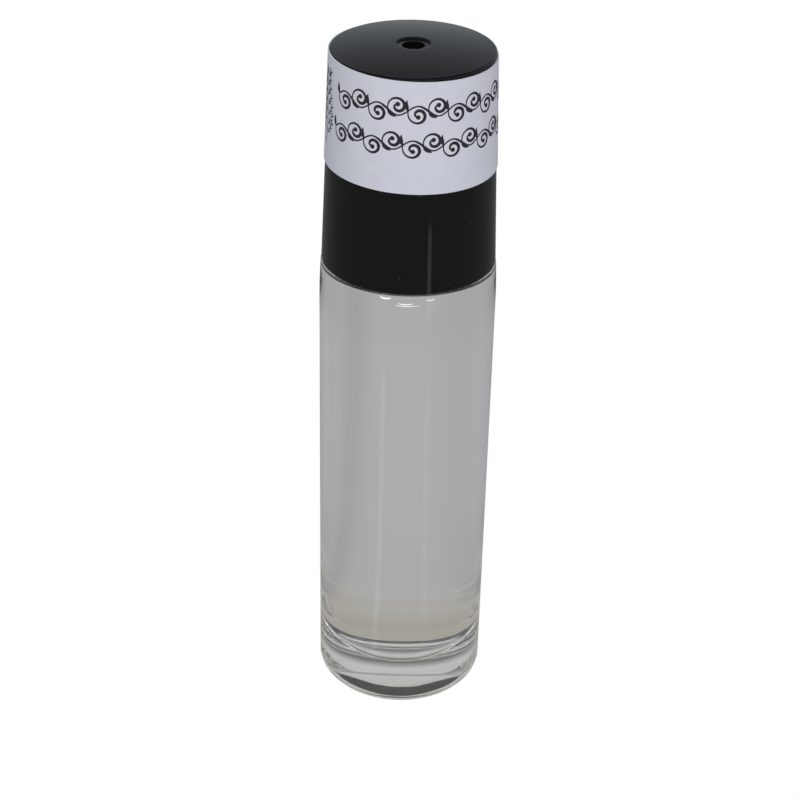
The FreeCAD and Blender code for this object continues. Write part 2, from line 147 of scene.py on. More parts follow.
# Paper label, with the waves along it and up it that lift it a little off the cap.
LABEL_LENGTH = 44.45
LABEL_HEIGHT = 12.7
LABEL_THICKNESS = 0.12
LABEL_MARGIN = 0.28
LABEL_UPPER = CAP_TOP - LABEL_MARGIN
LABEL_TILT = math.radians(1.6)
LABEL_GLUE = 0.01
RIPPLE_LIFT = 0.012
RIPPLE_ALONG = 0.55
RIPPLE_UP = 0.5
RIPPLE_SLANT = 0.13

# Label print, placed from the label's middle and lower edge. A vine has its start, its end and its height.
INK_THICKNESS = 0.012
INK_SUNK = 0.004
VINES = ((-9.2, 19.4, 9.5), (-9.7, 17.2, 5.6))
SPRIG_FOOT = (-12.6, 2.6)
SPRIG_TOP = (-11.9, 11.4)

# Indices of refraction. Where oil wets the glass, it is the glass's index over the oil's.
GLASS_INDEX = 1.52
WETTED_INDEX = 1.0526
OIL_SURFACE_INDEX = 1.46
NO_BEND = 1.0

# Painted light: the cavity wall glows grey for rays caught in the glass.
# A ray caught in the glass: after how many reflections, its mean light, and where the wall gives it.
CAUGHT_AFTER = 3.5
CAUGHT_PAINTED_LIGHT = (0.38, 0.38, 0.38, 1)
CAUGHT_HEIGHTS = (CAVITY_FLOOR + 0.75, CAVITY_FLOOR + 2.25)

# The photograph's viewpoint, found from the outlines of the cap, glass and base. Angles are in radians.
CAMERA_PLACE = (0, -195.54, 156.69)
CAMERA_PITCH = 0.5414
CAMERA_YAW = -0.0031
CAMERA_ROLL = 0.0224
CAMERA_LENS = 84.64
CAMERA_SENSOR = 36
CAMERA_NEAREST = 10

# Soft box in front of the bottle and over it, and the point that it faces. Its width is in metres.
SOFT_BOX_PLACE = (30, -420, 380)
SOFT_BOX_TARGET = (0, 0, 45)
SOFT_BOX_WIDTH = 0.5
SOFT_BOX_POWER = 1.52

# Floor: half its width in metres, and its clearance under the glass.
FLOOR_HALF = 3.0
FLOOR_CLEARANCE = 0.02

# The floor as glass shows it: dim in front of the bottle, bright behind it and far off, warm near it.
GLASS_FLOOR_LEVELS = (0.15, 0.435)
GLASS_FLOOR_BEHIND = (-6.0, 8.0)
GLASS_FLOOR_OPEN = (14.0, 30.0)
# Painted shadow: the floor darkens round the bottle's foot.
GLASS_FLOOR_PAINTED_SHADOW = (13.0, 20.0)
GLASS_FLOOR_PAINTED_SHADOW_SHARES = (0.89, 1.0)
# Painted caustic: a warm pool of light on the floor near the bottle, cooler farther off.
FLOOR_CAUSTIC_REACH = (13.5, 22.0)
FLOOR_PAINTED_CAUSTIC = (1, 0.94, 0.81, 1)
FLOOR_COOL = (0.985, 0.985, 1.02, 1)

# Painted shade and light: sectors where the floor is darker or paler.
# Sectors of the floor that glass shows darker or paler. Bearings and half widths are in radians.
PAINTED_SHADE_SECTORS = (
    {"bearing": 2.76, "fade": (0.04, 0.18), "share": 0.87},
    {"bearing": 2.0, "fade": (0.3, 0.4), "share": 1.1},
    {"bearing": -2.74, "fade": (0.1, 0.25), "share": 0.95},
)

# The floor as gloss shows it, a painted pool of light: bright near the bottle and dim far off.
GLOSS_FLOOR_LEVELS = (0.42, 0.15)
GLOSS_FLOOR_REACH = (95.0, 112.0)

# Painted light: bright strips on the floor that only gloss sees, as highlight streaks.
# Streaks of the floor that gloss shows: one on the cap, two on the glass. Angles are in radians.
PAINTED_LIGHT_STREAKS = (
    {"bearing": 0.464, "half_width": 0.046, "begin": 115.0, "end": 180.0, "glow": 0.55},
    {"bearing": -0.475, "half_width": 0.06, "begin": 14.0, "end": 98.0, "glow": 0.7},
    {"bearing": 0.49, "half_width": 0.06, "begin": 14.0, "end": 98.0, "glow": 0.3},
)
STREAK_CORE = 0.6
STREAK_RISE = 15
STREAK_FALL = 8

# Bands of light round the bottle: their heights over the horizon in degrees, and their levels there.
GLASS_SKY = (((6.0, 14.0), (0.42, 0.12)), ((17.0, 36.0), (0.0, 0.45)))
GLOSS_SKY = (((4.0, 37.0), (0.4, 0.05)), ((37.0, 50.0), (0.13, 0.0)), ((68.0, 78.0), (0.0, 0.25)))
GLOSS_SKY_COLOUR = (0.92, 1.0, 1.06, 1)


class Outline:
    """Half section of a turned piece, drawn from point to point as (radius, height)."""

    GUARD = 0.05

    def __init__(self, radius, height):
        self.points = [(radius, height)]
        self.finishes = []

    def _add(self, radius, height, finish):
        self.points.append((radius, height))
        self.finishes.append(finish)

    def line(self, radius, height, steps=1, finish=0):
        """A straight run, with a short stretch at each end so that shading stays flat along it."""
        begin = Vector(self.points[-1])
        end = Vector((radius, height))
        length = (end - begin).length
        shares = [step / steps for step in range(1, steps + 1)]
        if length > 4 * self.GUARD:
            shares = sorted({self.GUARD / length, *shares, 1 - self.GUARD / length})
        for share in shares:
            self._add(*begin.lerp(end, share), finish)

    def arc(self, radius, height, bend, steps, finish=0):
        """An arc of this bend radius. Its centre is left of the way along, or right for a negative bend."""
        begin = Vector(self.points[-1])
        end = Vector((radius, height))
        chord = end - begin
        rise = math.sqrt(max(bend * bend - chord.length_squared / 4, 0.0))
        left = Vector((-chord.y, chord.x)).normalized()
        centre = (begin + end) / 2 + left * math.copysign(rise, bend)
        first = math.atan2(begin.y - centre.y, begin.x - centre.x)
        turn = 2 * math.asin(min(chord.length / (2 * abs(bend)), 1.0))
        for step in range(1, steps):
            angle = first + math.copysign(turn, bend) * step / steps
            self._add(centre.x + abs(bend) * math.cos(angle), centre.y + abs(bend) * math.sin(angle), finish)
        self._add(radius, height, finish)


def arc_radius(half_chord, rise):
    return (half_chord * half_chord + rise * rise) / (2 * rise)


def smooth_step(value):
    value = min(max(value, 0.0), 1.0)
    return value * value * (3 - 2 * value)


def mesh_piece(name, vertices, faces, finishes=None, sharp_degrees=40):
    """A mesh object from points in millimetres, with normals outwards and its hard corners left hard."""
    mesh = bpy.data.meshes.new(name)
    mesh.from_pydata([Vector(v) * MM for v in vertices], [], faces)
    if finishes:
        mesh.polygons.foreach_set("material_index", finishes)
    shape = bmesh.new()
    shape.from_mesh(mesh)
    bmesh.ops.recalc_face_normals(shape, faces=shape.faces)
    shape.to_mesh(mesh)
    shape.free()
    mesh.polygons.foreach_set("use_smooth", [True] * len(mesh.polygons))
    mesh.set_sharp_from_angle(angle=math.radians(sharp_degrees))
    piece = bpy.data.objects.new(name, mesh)
    bpy.context.scene.collection.objects.link(piece)
    return piece


def lathe(name, outline, shape=None):
    """Turns an outline about the bottle's axis. shape(angle, radius, height) may give another radius."""
    vertices, rings = [], []
    for radius, height in outline.points:
        if radius < TOLERANCE:
            rings.append([len(vertices)] * SIDES)
            vertices.append((0, 0, height))
            continue
        rings.append(range(len(vertices), len(vertices) + SIDES))
        for side in range(SIDES):
            angle = 2 * math.pi * side / SIDES
            across = shape(angle, radius, height) if shape else radius
            vertices.append((across * math.cos(angle), across * math.sin(angle), height))
    closed = outline.points[0][0] > TOLERANCE
    pairs = list(zip(rings, rings[1:])) + ([(rings[-1], rings[0])] if closed else [])
    marks = outline.finishes + ([outline.finishes[-1]] if closed else [])
    faces, finishes = [], []
    for (low, high), mark in zip(pairs, marks):
        for side in range(SIDES):
            after = (side + 1) % SIDES
            corners = (low[side], low[after], high[after], high[side])
            faces.append(tuple(dict.fromkeys(corners)))
            finishes.append(mark)
    return mesh_piece(name, vertices, faces, finishes)


def tube_faces(first, rings, count):
    """Faces of a closed tube: its sides between rings of count points each, and its two ends."""
    faces = []
    for ring in range(rings - 1):
        low = first + ring * count
        high = low + count
        for side in range(count):
            after = (side + 1) % count
            faces.append((low + side, low + after, high + after, high + side))
    last = first + (rings - 1) * count
    faces.append(tuple(range(first, first + count)))
    faces.append(tuple(range(last, last + count)))
    return faces


def place(piece, body, materials, replaces=None):
    """Gives a piece its finishes, the body that it moves with and the node that it stands for."""
    for material in materials:
        piece.data.materials.append(material)
    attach(piece, body)
    if replaces:
        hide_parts(replaces)


class Wiring:
    """Adds nodes to a tree. An input is a plain value or another node's output."""

    def __init__(self, tree):
        self.tree = tree

    def add(self, kind, inputs=None, **settings):
        node = self.tree.nodes.new(kind)
        for name, value in settings.items():
            setattr(node, name, value)
        for socket, value in (inputs or {}).items():
            self.feed(node.inputs[socket], value)
        return node

    def feed(self, socket, value):
        if isinstance(value, bpy.types.NodeSocket):
            self.tree.links.new(value, socket)
        else:
            socket.default_value = value

    def maths(self, operation, *values):
        return self.add("ShaderNodeMath", dict(enumerate(values)), operation=operation).outputs[0]

    def mix(self, share, first, second):
        """Mixes two numbers."""
        node = self.add("ShaderNodeMix", {0: share, 2: first, 3: second}, data_type="FLOAT")
        return node.outputs[0]

    def blend(self, share, first, second):
        """Mixes two colours."""
        node = self.add("ShaderNodeMix", {0: share, 6: first, 7: second}, data_type="RGBA")
        return node.outputs[2]

    def spread(self, value, reach, levels=(0.0, 1.0)):
        """Carries a value from one range to another, held at the ends."""
        names = ("Value", "From Min", "From Max", "To Min", "To Max")
        node = self.add("ShaderNodeMapRange", dict(zip(names, (value, *reach, *levels))))
        return node.outputs[0]

    def parts(self, vector):
        """The X, Y and Z of a place or a direction."""
        return self.add("ShaderNodeSeparateXYZ", {0: vector}).outputs

    def noise(self, at, scale, detail, roughness=0.5):
        inputs = {"Vector": at, "Scale": scale, "Detail": detail, "Roughness": roughness}
        return self.add("ShaderNodeTexNoise", inputs).outputs["Fac"]

    def bump(self, height, distance, strength):
        inputs = {"Height": height, "Distance": distance * MM, "Strength": strength}
        return self.add("ShaderNodeBump", inputs).outputs["Normal"]


def millimetre_place(wiring):
    """Place on the piece in millimetres, so that a noise scale of one is a grain of about a millimetre."""
    place_node = wiring.add("ShaderNodeTexCoord").outputs["Object"]
    scaled = wiring.add("ShaderNodeVectorMath", {0: place_node}, operation="SCALE")
    scaled.inputs["Scale"].default_value = 1 / MM
    return scaled.outputs[0]


def new_group(name, inputs, outputs):
    """An empty shader group with number sockets: inputs by name and starting value, outputs by name."""
    tree = bpy.data.node_groups.new(name, "ShaderNodeTree")
    for label, value in inputs.items():
        socket = tree.interface.new_socket(label, in_out="INPUT", socket_type="NodeSocketFloat")
        socket.default_value = value
    for label in outputs:
        tree.interface.new_socket(label, in_out="OUTPUT", socket_type="NodeSocketFloat")
    wiring = Wiring(tree)
    return wiring, wiring.add("NodeGroupInput").outputs, wiring.add("NodeGroupOutput").inputs


def handling_wear_group():
    """Finger smudges, hairline scratches and dust that a handled, glossy surface picks up."""
    wiring, given, out = new_group(
        "handling wear",
        {"Base Roughness": 0.05, "Smudge": 0.1, "Scratch": 0.1, "Dust": 0.0},
        ("Roughness", "Scratch Height", "Dust Mask"),
    )
    at = millimetre_place(wiring)
    smear = wiring.spread(wiring.noise(at, scale=0.22, detail=5.0, roughness=0.6), (0.45, 0.75))
    stretched = wiring.add("ShaderNodeMapping", {"Vector": at, "Scale": (1.0, 1.0, 0.06)}).outputs[0]
    hairs = wiring.spread(wiring.noise(stretched, scale=5.0, detail=3.0, roughness=0.7), (0.62, 0.72))
    patches = wiring.spread(wiring.noise(at, scale=0.15, detail=1.0), (0.5, 0.65))
    scratches = wiring.maths("MULTIPLY", hairs, patches)
    cells = wiring.add("ShaderNodeTexVoronoi", {"Vector": at, "Scale": 0.75}).outputs["Distance"]
    specks = wiring.spread(cells, (0.03, 0.07), (1.0, 0.0))
    smudge = wiring.maths("MULTIPLY", smear, given["Smudge"])
    marks = wiring.maths("MULTIPLY", scratches, given["Scratch"])
    rough = wiring.maths("ADD", wiring.maths("ADD", smudge, marks), given["Base Roughness"])
    wiring.feed(out["Roughness"], rough)
    wiring.feed(out["Scratch Height"], wiring.maths("MULTIPLY", marks, -1.0))
    wiring.feed(out["Dust Mask"], wiring.maths("MULTIPLY", specks, given["Dust"]))
    return wiring.tree


def moulded_grain_group():
    """Fine grain and slow sink marks of moulded plastic."""
    wiring, given, out = new_group(
        "moulded grain", {"Grain": 0.3, "Sink": 0.3, "Base Roughness": 0.4}, ("Height", "Roughness")
    )
    at = millimetre_place(wiring)
    grain = wiring.maths("MULTIPLY", wiring.noise(at, scale=9.0, detail=4.0, roughness=0.65), given["Grain"])
    sink = wiring.maths("MULTIPLY", wiring.noise(at, scale=0.4, detail=1.0), given["Sink"])
    wiring.feed(out["Height"], wiring.maths("ADD", grain, sink))
    cloud = wiring.noise(at, scale=1.6, detail=4.0, roughness=0.6)
    uneven = wiring.spread(cloud, (0.3, 0.7), (-0.06, 0.06))
    wiring.feed(out["Roughness"], wiring.maths("ADD", uneven, given["Base Roughness"]))
    return wiring.tree


HANDLING_WEAR = handling_wear_group()
MOULDED_GRAIN = moulded_grain_group()


def new_finish(name, **constants):
    """A material with one Principled shader and its plain constants."""
    material = bpy.data.materials.new(name)
    material.use_nodes = True
    shader = material.node_tree.nodes["Principled BSDF"]
    for socket, value in constants.items():
        shader.inputs[socket.replace("_", " ")].default_value = value
    return material, Wiring(material.node_tree), shader


def use_group(wiring, tree, **values):
    node = wiring.add("ShaderNodeGroup", node_tree=tree)
    for socket, value in values.items():
        node.inputs[socket.replace("_", " ")].default_value = value
    return node.outputs


def clear_glass():
    """Moulded flint glass: a little uneven, with faint smudges and a thin haze from handling."""
    material, wiring, shader = new_finish(
        "clear_glass", Base_Color=(0.97, 0.98, 0.975, 1), Transmission_Weight=0.92, IOR=GLASS_INDEX
    )
    wear = use_group(wiring, HANDLING_WEAR, Base_Roughness=0.0, Smudge=0.05, Scratch=0.05)
    wiring.feed(shader.inputs["Roughness"], wear["Roughness"])
    waves = wiring.noise(millimetre_place(wiring), scale=0.12, detail=1.0)
    wiring.feed(shader.inputs["Normal"], wiring.bump(waves, distance=0.05, strength=0.5))
    return material


def wetted_glass():
    """Cavity wall under the oil, where light passes between glass and oil almost straight.

    A ray caught in the glass ends at the wall in a painted grey glow, not the black of its last bounce.
    """
    material, wiring, shader = new_finish(
        "wetted_glass", Base_Color=(0.99, 0.99, 0.99, 1), Transmission_Weight=1.0, IOR=WETTED_INDEX,
        Roughness=0.0, Emission_Strength=1.0,
    )
    bounces = wiring.add("ShaderNodeLightPath").outputs["Glossy Depth"]
    wall = wiring.spread(wiring.parts(millimetre_place(wiring))["Z"], CAUGHT_HEIGHTS)
    # Painted light: the wall glows grey for a ray caught in the glass.
    caught = wiring.maths("MULTIPLY", wiring.maths("GREATER_THAN", bounces, CAUGHT_AFTER), wall)
    wiring.feed(shader.inputs["Emission Color"], wiring.blend(caught, BLACK, CAUGHT_PAINTED_LIGHT))
    return material


def bubble_painted_glint():
    """A bubble's inside, given a painted glint: it glows white with a little light of its own."""
    return new_finish(
        "bubble_painted_glint", Base_Color=WHITE, Emission_Color=WHITE, Emission_Strength=0.85, Roughness=0.2
    )[0]


def clear_liquid(name, index):
    """A colourless surface of the oil with this index of refraction."""
    return new_finish(name, Base_Color=WHITE, Transmission_Weight=1.0, IOR=index, Roughness=0.0)


def oil_body():
    """Pale oil: no bend at its sides, a faint straw colour with depth."""
    material, wiring, _ = clear_liquid("oil_body", NO_BEND)
    depth = wiring.add("ShaderNodeVolumeAbsorption", {"Color": (0.93, 0.91, 0.8, 1), "Density": 8.0})
    output = material.node_tree.nodes["Material Output"]
    wiring.feed(output.inputs["Volume"], depth.outputs["Volume"])
    return material


def gloss_black():
    """Polished black moulding with light handling marks and a few dust specks."""
    material, wiring, shader = new_finish("gloss_black", IOR=1.5)
    wear = use_group(wiring, HANDLING_WEAR, Base_Roughness=0.04, Smudge=0.04, Scratch=0.12, Dust=0.5)
    colour = wiring.blend(wear["Dust Mask"], (0.0045, 0.0047, 0.005, 1), (0.12, 0.12, 0.12, 1))
    wiring.feed(shader.inputs["Base Color"], colour)
    wiring.feed(shader.inputs["Roughness"], wear["Roughness"])
    wiring.feed(shader.inputs["Normal"], wiring.bump(wear["Scratch Height"], distance=0.01, strength=0.4))
    return material


def moulded_plastic(name, colour, grain, sink, roughness, **constants):
    """A plain moulding: even colour, fine grain, slow sink marks."""
    material, wiring, shader = new_finish(name, **constants)
    moulded = use_group(wiring, MOULDED_GRAIN, Grain=grain, Sink=sink, Base_Roughness=roughness)
    cloud = wiring.noise(millimetre_place(wiring), scale=0.8, detail=3.0)
    tone = wiring.spread(cloud, (0.3, 0.7), (0.93, 1.0))
    shade = wiring.add("ShaderNodeVectorMath", {0: colour, 1: tone}, operation="MULTIPLY").outputs[0]
    wiring.feed(shader.inputs["Base Color"], shade)
    wiring.feed(shader.inputs["Roughness"], moulded["Roughness"])
    wiring.feed(shader.inputs["Normal"], wiring.bump(moulded["Height"], distance=0.02, strength=0.5))
    return material


def polished_steel():
    material, wiring, shader = new_finish("polished_steel", Base_Color=(0.62, 0.61, 0.6, 1), Metallic=1.0)
    wear = use_group(wiring, HANDLING_WEAR, Base_Roughness=0.2, Smudge=0.12, Scratch=0.15)
    wiring.feed(shader.inputs["Roughness"], wear["Roughness"])
    wiring.feed(shader.inputs["Normal"], wiring.bump(wear["Scratch Height"], distance=0.01, strength=0.4))
    return material


def label_paper():
    """Matt white paper with a cool cast, fine fibres and a slightly uneven coat."""
    material, wiring, shader = new_finish("label_paper", Roughness=0.72)
    at = millimetre_place(wiring)
    fibres = wiring.noise(at, scale=14.0, detail=5.0, roughness=0.7)
    coat = wiring.spread(wiring.noise(at, scale=0.5, detail=3.0, roughness=0.55), (0.3, 0.7))
    colour = wiring.blend(coat, (0.725, 0.75, 0.84, 1), (0.765, 0.785, 0.865, 1))
    wiring.feed(shader.inputs["Base Color"], colour)
    wiring.feed(shader.inputs["Normal"], wiring.bump(fibres, distance=0.012, strength=0.5))
    return material


def label_ink():
    """Black ink that sinks unevenly into the paper."""
    material, wiring, shader = new_finish("label_ink", Roughness=0.6)
    cloud = wiring.noise(millimetre_place(wiring), scale=12.0, detail=4.0, roughness=0.6)
    sunk = wiring.spread(cloud, (0.4, 0.75))
    colour = wiring.blend(sunk, (0.012, 0.012, 0.018, 1), (0.05, 0.05, 0.065, 1))
    wiring.feed(shader.inputs["Base Color"], colour)
    return material


def helix_offset(angle, height, start, turns):
    """Height above the nearest turn of a right-hand helix, and how many turns along it that point lies."""
    share = angle / (2 * math.pi)
    turn = share + round((height - start) / THREAD_LEAD - share)
    if turn < 0:
        turn = share
    elif turn > turns:
        turn = share + math.floor(turns - share)
    return height - start - THREAD_LEAD * turn, turn


def thread_fade(turn, turns):
    return smooth_step(turn / THREAD_FADE_TURNS) * smooth_step((turns - turn) / THREAD_FADE_TURNS)


def neck_thread(angle, radius, height):
    """Raises the neck's wall along its thread."""
    if abs(radius - NECK_RADIUS) > TOLERANCE:
        return radius
    offset, turn = helix_offset(angle, height, THREAD_START, NECK_THREAD_TURNS)
    profile = smooth_step(NECK_THREAD_FLANK * (1 - abs(offset) / THREAD_HALF_WIDTH))
    fade = thread_fade(turn, NECK_THREAD_TURNS)
    return radius + (NECK_THREAD_CREST - NECK_RADIUS) * profile * fade


def cavity_shoulder():
    """Half of the step and of the rise from the cavity's wall to the neck's bore, and their bend radius."""
    half_step = (CAVITY_RADIUS - NECK_BORE) / 2
    half_rise = CAVITY_SHOULDER_RISE / 2
    return half_step, half_rise, arc_radius(half_rise, half_step)


def glass_outline():
    foot = GLASS_RADIUS - HEEL_RADIUS
    ring = foot - BEARING_WIDTH
    drawn = GLASS_RADIUS - DRAW_IN
    corner_start = SHOULDER - SHOULDER_CORNER
    half_step, half_rise, curve = cavity_shoulder()
    floor_edge = CAVITY_RADIUS - CAVITY_CORNER
    wet = 1
    outline = Outline(0, PUNT_DEPTH)
    outline.arc(ring, 0, -arc_radius(ring, PUNT_DEPTH), 24)
    outline.line(foot, 0)
    outline.arc(GLASS_RADIUS, HEEL_RADIUS, HEEL_RADIUS, 20)
    outline.line(GLASS_RADIUS, corner_start - DRAW_HEIGHT, 12)
    outline.arc(drawn, corner_start, arc_radius(DRAW_HEIGHT, DRAW_IN), 10)
    outline.arc(drawn - SHOULDER_CORNER, SHOULDER, SHOULDER_CORNER, 16)
    outline.line(NECK_RADIUS + NECK_ROOT, SHOULDER)
    outline.arc(NECK_RADIUS, SHOULDER + NECK_ROOT, -NECK_ROOT, 10)
    outline.line(NECK_RADIUS, LIP - LIP_ROUND, 72)
    outline.arc(NECK_RADIUS - LIP_ROUND, LIP, LIP_ROUND, 8)
    outline.line(NECK_BORE + LIP_ROUND, LIP)
    outline.arc(NECK_BORE, LIP - LIP_ROUND, LIP_ROUND, 8)
    outline.line(NECK_BORE, OIL_LEVEL, 3)
    outline.line(NECK_BORE, BORE_START, 1, wet)
    outline.arc(NECK_BORE + half_step, CAVITY_END + half_rise, curve, 14, wet)
    outline.arc(CAVITY_RADIUS, CAVITY_END, -curve, 14, wet)
    outline.line(CAVITY_RADIUS, CAVITY_FLOOR + CAVITY_CORNER, 12, wet)
    outline.arc(floor_edge, CAVITY_FLOOR, -CAVITY_CORNER, 24, wet)
    outline.arc(0, CAVITY_FLOOR + FLOOR_DOME, arc_radius(floor_edge, FLOOR_DOME), 16, wet)
    return outline


def make_glass():
    glass = lathe("glass_body", glass_outline(), neck_thread)
    place(glass, "bottle", [clear_glass(), wetted_glass()], "glass_bottle")


def bubble_points(across, drop, half_length, half_depth, rounds, slices):
    """Rings of points along a flat bubble that follows the glass round and turns up at its ends."""
    points = []
    for ring in range(1, rounds):
        along = -math.cos(math.pi * ring / rounds)
        reach = half_depth * math.sin(math.pi * ring / rounds)
        bearing = (across + half_length * along) / BUBBLE_PLACE_RADIUS
        middle = SHOULDER - drop + BUBBLE_UPTURN * along * along
        for slice_number in range(slices):
            turn = 2 * math.pi * slice_number / slices
            radius = BUBBLE_PLACE_RADIUS + reach * math.cos(turn)
            height = middle + BUBBLE_FLATNESS * reach * math.sin(turn)
            points.append((radius * math.sin(bearing), -radius * math.cos(bearing), height))
    return points


def make_bubbles():
    """Flat air bubbles in the glass under the shoulder, which glow white as painted glints."""
    rounds, slices = 10, 24
    vertices, faces = [], []
    for bubble in BUBBLES:
        faces += tube_faces(len(vertices), rounds - 1, slices)
        vertices += bubble_points(**bubble, rounds=rounds, slices=slices)
    bubbles = mesh_piece("glass_bubbles_painted_glint", vertices, faces)
    place(bubbles, "bottle", [bubble_painted_glint()])


def meniscus(radius):
    """Height of the oil's surface, which climbs the glass at its rim."""
    wall = NECK_BORE - OIL_FILM
    climb = max(1 - (wall - radius) / MENISCUS_WIDTH, 0.0)
    return OIL_LEVEL - MENISCUS_RISE + MENISCUS_RISE * climb**MENISCUS_CURVE


def surface_run(outline, radii, drop, finish):
    for radius in radii:
        outline.line(radius, meniscus(radius) - drop, 1, finish)


def make_oil():
    """The oil's body and, over it, the thin bright skin of its surface."""
    wall = CAVITY_RADIUS - OIL_FILM
    corner = CAVITY_CORNER - OIL_FILM
    floor = CAVITY_FLOOR + OIL_FILM
    floor_edge = wall - corner
    bore = NECK_BORE - OIL_FILM
    half_step, half_rise, curve = cavity_shoulder()
    inwards = [bore - bore * step / SURFACE_STEPS for step in range(1, SURFACE_STEPS + 1)]
    body = Outline(0, floor + FLOOR_DOME)
    body.arc(floor_edge, floor, -arc_radius(floor_edge, FLOOR_DOME), 16)
    body.arc(wall, floor + corner, corner, 20)
    body.line(wall, CAVITY_END, 12)
    body.arc(bore + half_step, CAVITY_END + half_rise, curve, 14)
    body.arc(bore, BORE_START, -curve, 14)
    body.line(bore, meniscus(bore) - SURFACE_SKIN, 2)
    surface_run(body, inwards, SURFACE_SKIN, 0)
    oil = lathe("oil_fill", body)
    place(oil, "bottle", [oil_body()], "perfume_oil")
    above, underside = 0, 1
    skin = Outline(0, meniscus(0) - SURFACE_SKIN + SURFACE_GAP)
    surface_run(skin, inwards[-2::-1] + [bore], SURFACE_SKIN - SURFACE_GAP, underside)
    skin.line(bore, meniscus(bore), 1, underside)
    surface_run(skin, inwards, 0, above)
    surface = lathe("oil_surface", skin)
    bright = clear_liquid("oil_skin", OIL_SURFACE_INDEX)[0]
    hidden = clear_liquid("oil_underside", NO_BEND)[0]
    place(surface, "bottle", [bright, hidden])


def cap_outside(height):
    """Radius of the cap's tapered side."""
    share = (height - CAP_RIM) / (CAP_TOP - CAP_RIM)
    return CAP_RIM_RADIUS + (CAP_TOP_RADIUS - CAP_RIM_RADIUS) * share


def dome_height(radius):
    """Height of the cap's domed top."""
    bend = arc_radius(CAP_TOP_RADIUS, CAP_DOME)
    return CAP_TOP + CAP_DOME - bend + math.sqrt(bend * bend - radius * radius)


def cap_outline():
    taper = (CAP_RIM_RADIUS - CAP_TOP_RADIUS) / (CAP_TOP - CAP_RIM)
    edge_end = cap_outside(CAP_TOP) - CAP_EDGE * (1 - taper)
    gate_edge = dome_height(GATE_STEP_RADIUS)
    gate_start = GATE_STEP_RADIUS + SOFT_EDGE
    well_floor = gate_edge - GATE_DEPTH
    step_floor = gate_edge - GATE_STEP_DEPTH
    step_corner = SOFT_EDGE / 2
    ceiling_radius = cap_outside(SHELL_CEILING) - SHELL_WALL
    outline = Outline(0, SHELL_CEILING)
    outline.line(ceiling_radius, SHELL_CEILING)
    outline.line(CAP_RIM_RADIUS - SHELL_WALL, CAP_RIM, 4)
    outline.line(CAP_RIM_RADIUS - RIM_EDGE, CAP_RIM)
    outline.arc(cap_outside(CAP_RIM + RIM_EDGE), CAP_RIM + RIM_EDGE, RIM_EDGE, 8)
    outline.line(cap_outside(CAP_TOP - CAP_EDGE), CAP_TOP - CAP_EDGE, 8)
    outline.arc(edge_end, dome_height(edge_end), CAP_EDGE, 16)
    outline.arc(gate_start, dome_height(gate_start), arc_radius(CAP_TOP_RADIUS, CAP_DOME), 24)
    outline.arc(GATE_STEP_RADIUS, gate_edge - SOFT_EDGE, SOFT_EDGE, 6)
    outline.line(GATE_STEP_RADIUS, step_floor + step_corner)
    outline.arc(GATE_STEP_RADIUS - step_corner, step_floor, -step_corner, 4)
    outline.line(GATE_RADIUS + SOFT_EDGE, step_floor)
    outline.arc(GATE_RADIUS, step_floor - SOFT_EDGE, SOFT_EDGE, 6)
    outline.line(GATE_RADIUS, well_floor + SOFT_EDGE)
    outline.arc(GATE_RADIUS - SOFT_EDGE, well_floor, -SOFT_EDGE, 4)
    outline.line(VESTIGE_RADIUS, well_floor)
    outline.line(VESTIGE_RADIUS, well_floor + VESTIGE_HEIGHT)
    outline.line(0, well_floor + VESTIGE_CROWN)
    return outline


def make_cap_shell(black):
    shell = lathe("cap_gloss_shell", cap_outline())
    place(shell, "cap", [black], "cap_shell")


def make_cap_thread(plastic):
    """The thread inside the cap, in the space that the neck's thread leaves."""
    start = THREAD_START + THREAD_LEAD / 2
    section = ((-1.0, 0.0), (-CAP_THREAD_FLAT, 1.0), (CAP_THREAD_FLAT, 1.0), (1.0, 0.0))
    vertices = []
    for step in range(CAP_THREAD_STEPS + 1):
        turn = CAP_THREAD_TURNS * step / CAP_THREAD_STEPS
        angle = 2 * math.pi * turn
        depth = (CAP_THREAD_BORE - CAP_THREAD_CREST) * thread_fade(turn, CAP_THREAD_TURNS)
        for up, reach in section:
            radius = CAP_THREAD_BORE + CAP_THREAD_ROOT - (depth + CAP_THREAD_ROOT) * reach
            height = start + THREAD_LEAD * turn + up * THREAD_HALF_WIDTH
            vertices.append((radius * math.cos(angle), radius * math.sin(angle), height))
    faces = tube_faces(0, CAP_THREAD_STEPS + 1, len(section))
    thread = mesh_piece("cap_thread", vertices, faces, sharp_degrees=30)
    place(thread, "cap", [plastic])


def label_point(along, up, lift):
    """Place of a label point: along the paper from its middle, up from its lower edge, lift off the cap."""
    middle = LABEL_UPPER - LABEL_HEIGHT / 2
    angle = along / cap_outside(middle)
    rise = LABEL_UPPER - LABEL_HEIGHT + up
    height = rise - cap_outside(rise) * math.sin(angle) * math.tan(LABEL_TILT)
    ripple = RIPPLE_LIFT * math.sin(along * RIPPLE_ALONG) * math.sin(up * RIPPLE_UP + along * RIPPLE_SLANT)
    radius = cap_outside(height) + LABEL_GLUE + max(ripple, 0.0) + lift
    return (radius * math.sin(angle), -radius * math.cos(angle), height)


